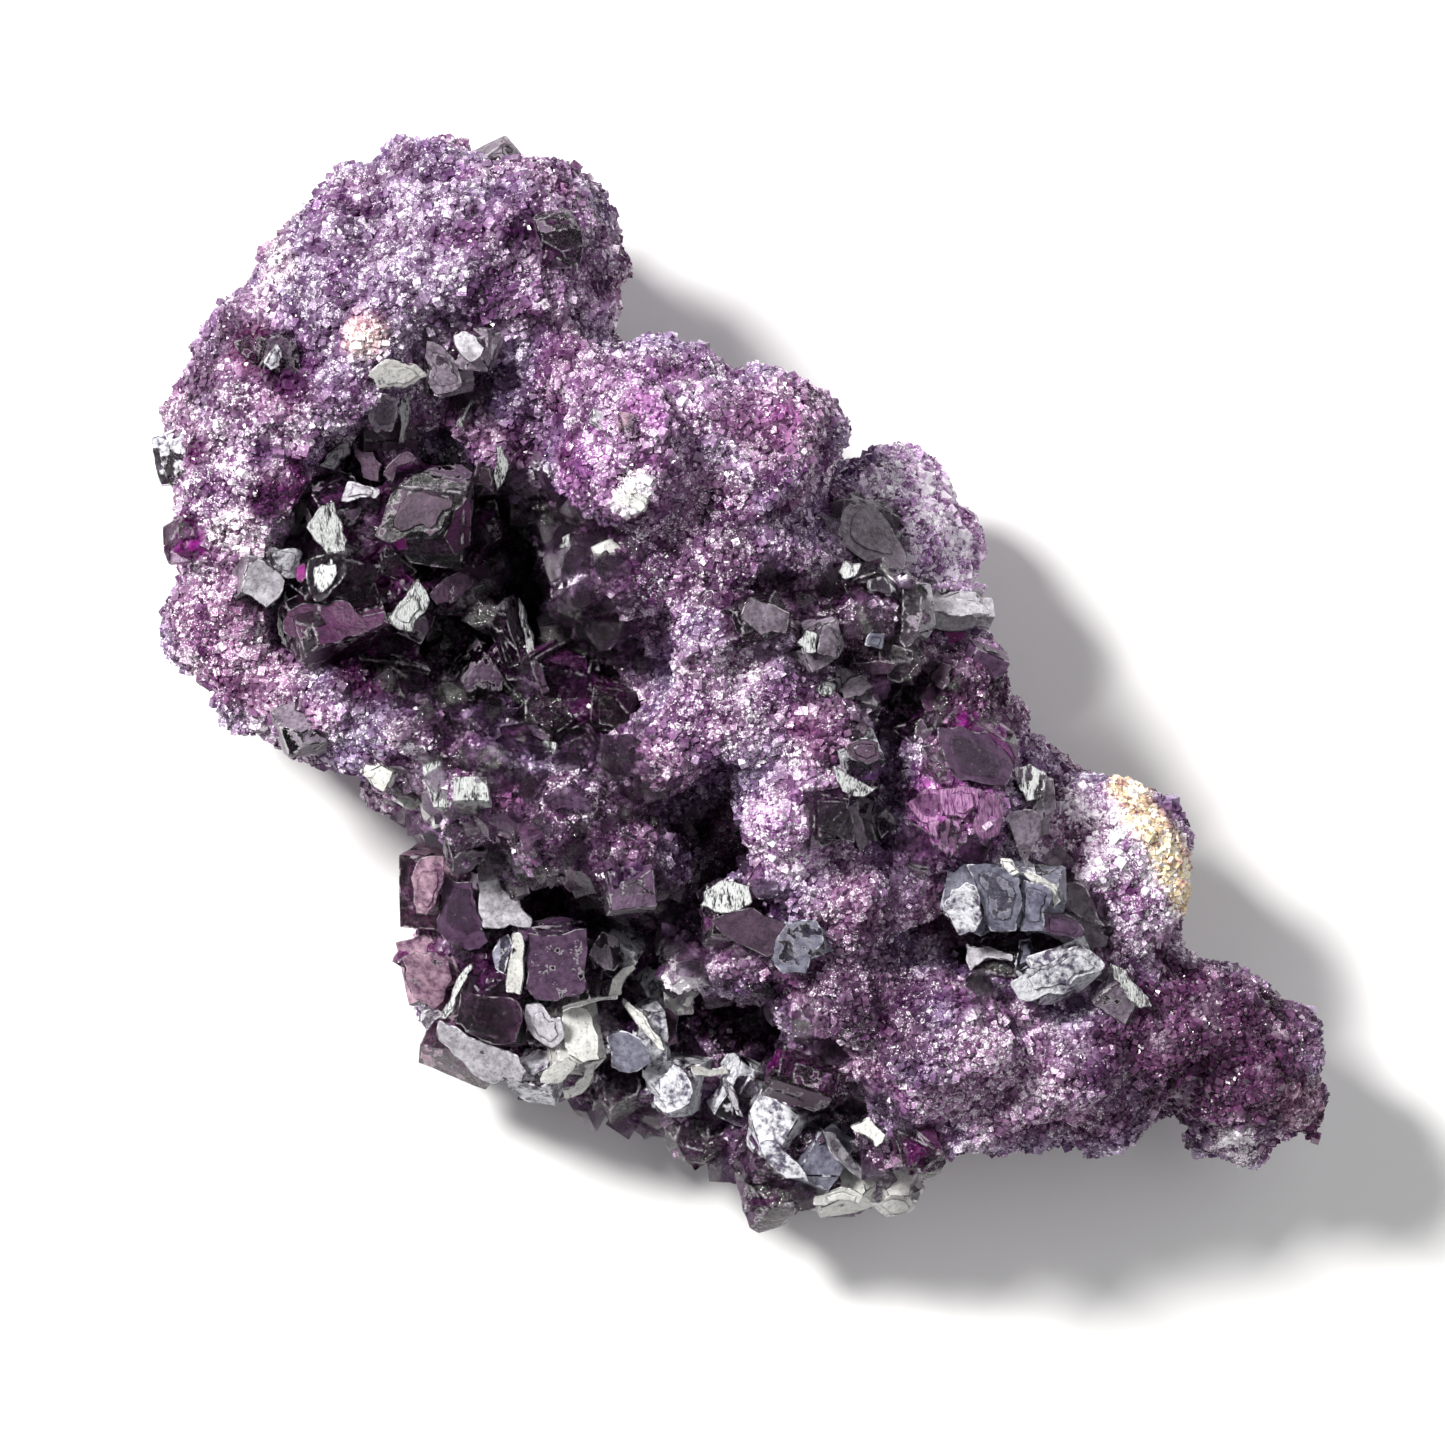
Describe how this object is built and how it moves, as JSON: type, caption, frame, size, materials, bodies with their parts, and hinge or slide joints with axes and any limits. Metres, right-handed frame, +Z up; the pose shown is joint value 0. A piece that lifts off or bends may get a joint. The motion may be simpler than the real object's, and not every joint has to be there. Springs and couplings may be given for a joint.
{
  "type": "fluorite crystal cluster",
  "caption": "Purple fluorite cluster: rounded lumps covered in sugary small crystals, glassy dark cubes in a central hollow, frosted cubes on a lower ledge.",
  "frame": {"origin": "on the flat broken face that the cluster rests on, under the middle of its showing side", "axes": "+Z up from the surface it lies on and out of the showing side, +Y towards the rounded head, +X to the right as the showing side is seen"},
  "size_m": [0.0569, 0.0531, 0.0272],
  "materials": {
    "purple_druse": "sugary, sparkling small crystals over rounded lumps",
    "dark_fluorite": "smooth glassy crystal faces, nearly black purple"
  },
  "bodies": {
    "root": {"fluorite_mass": "purple_druse", "hollow_crystals": "dark_fluorite"}
  },
  "joints": []
}
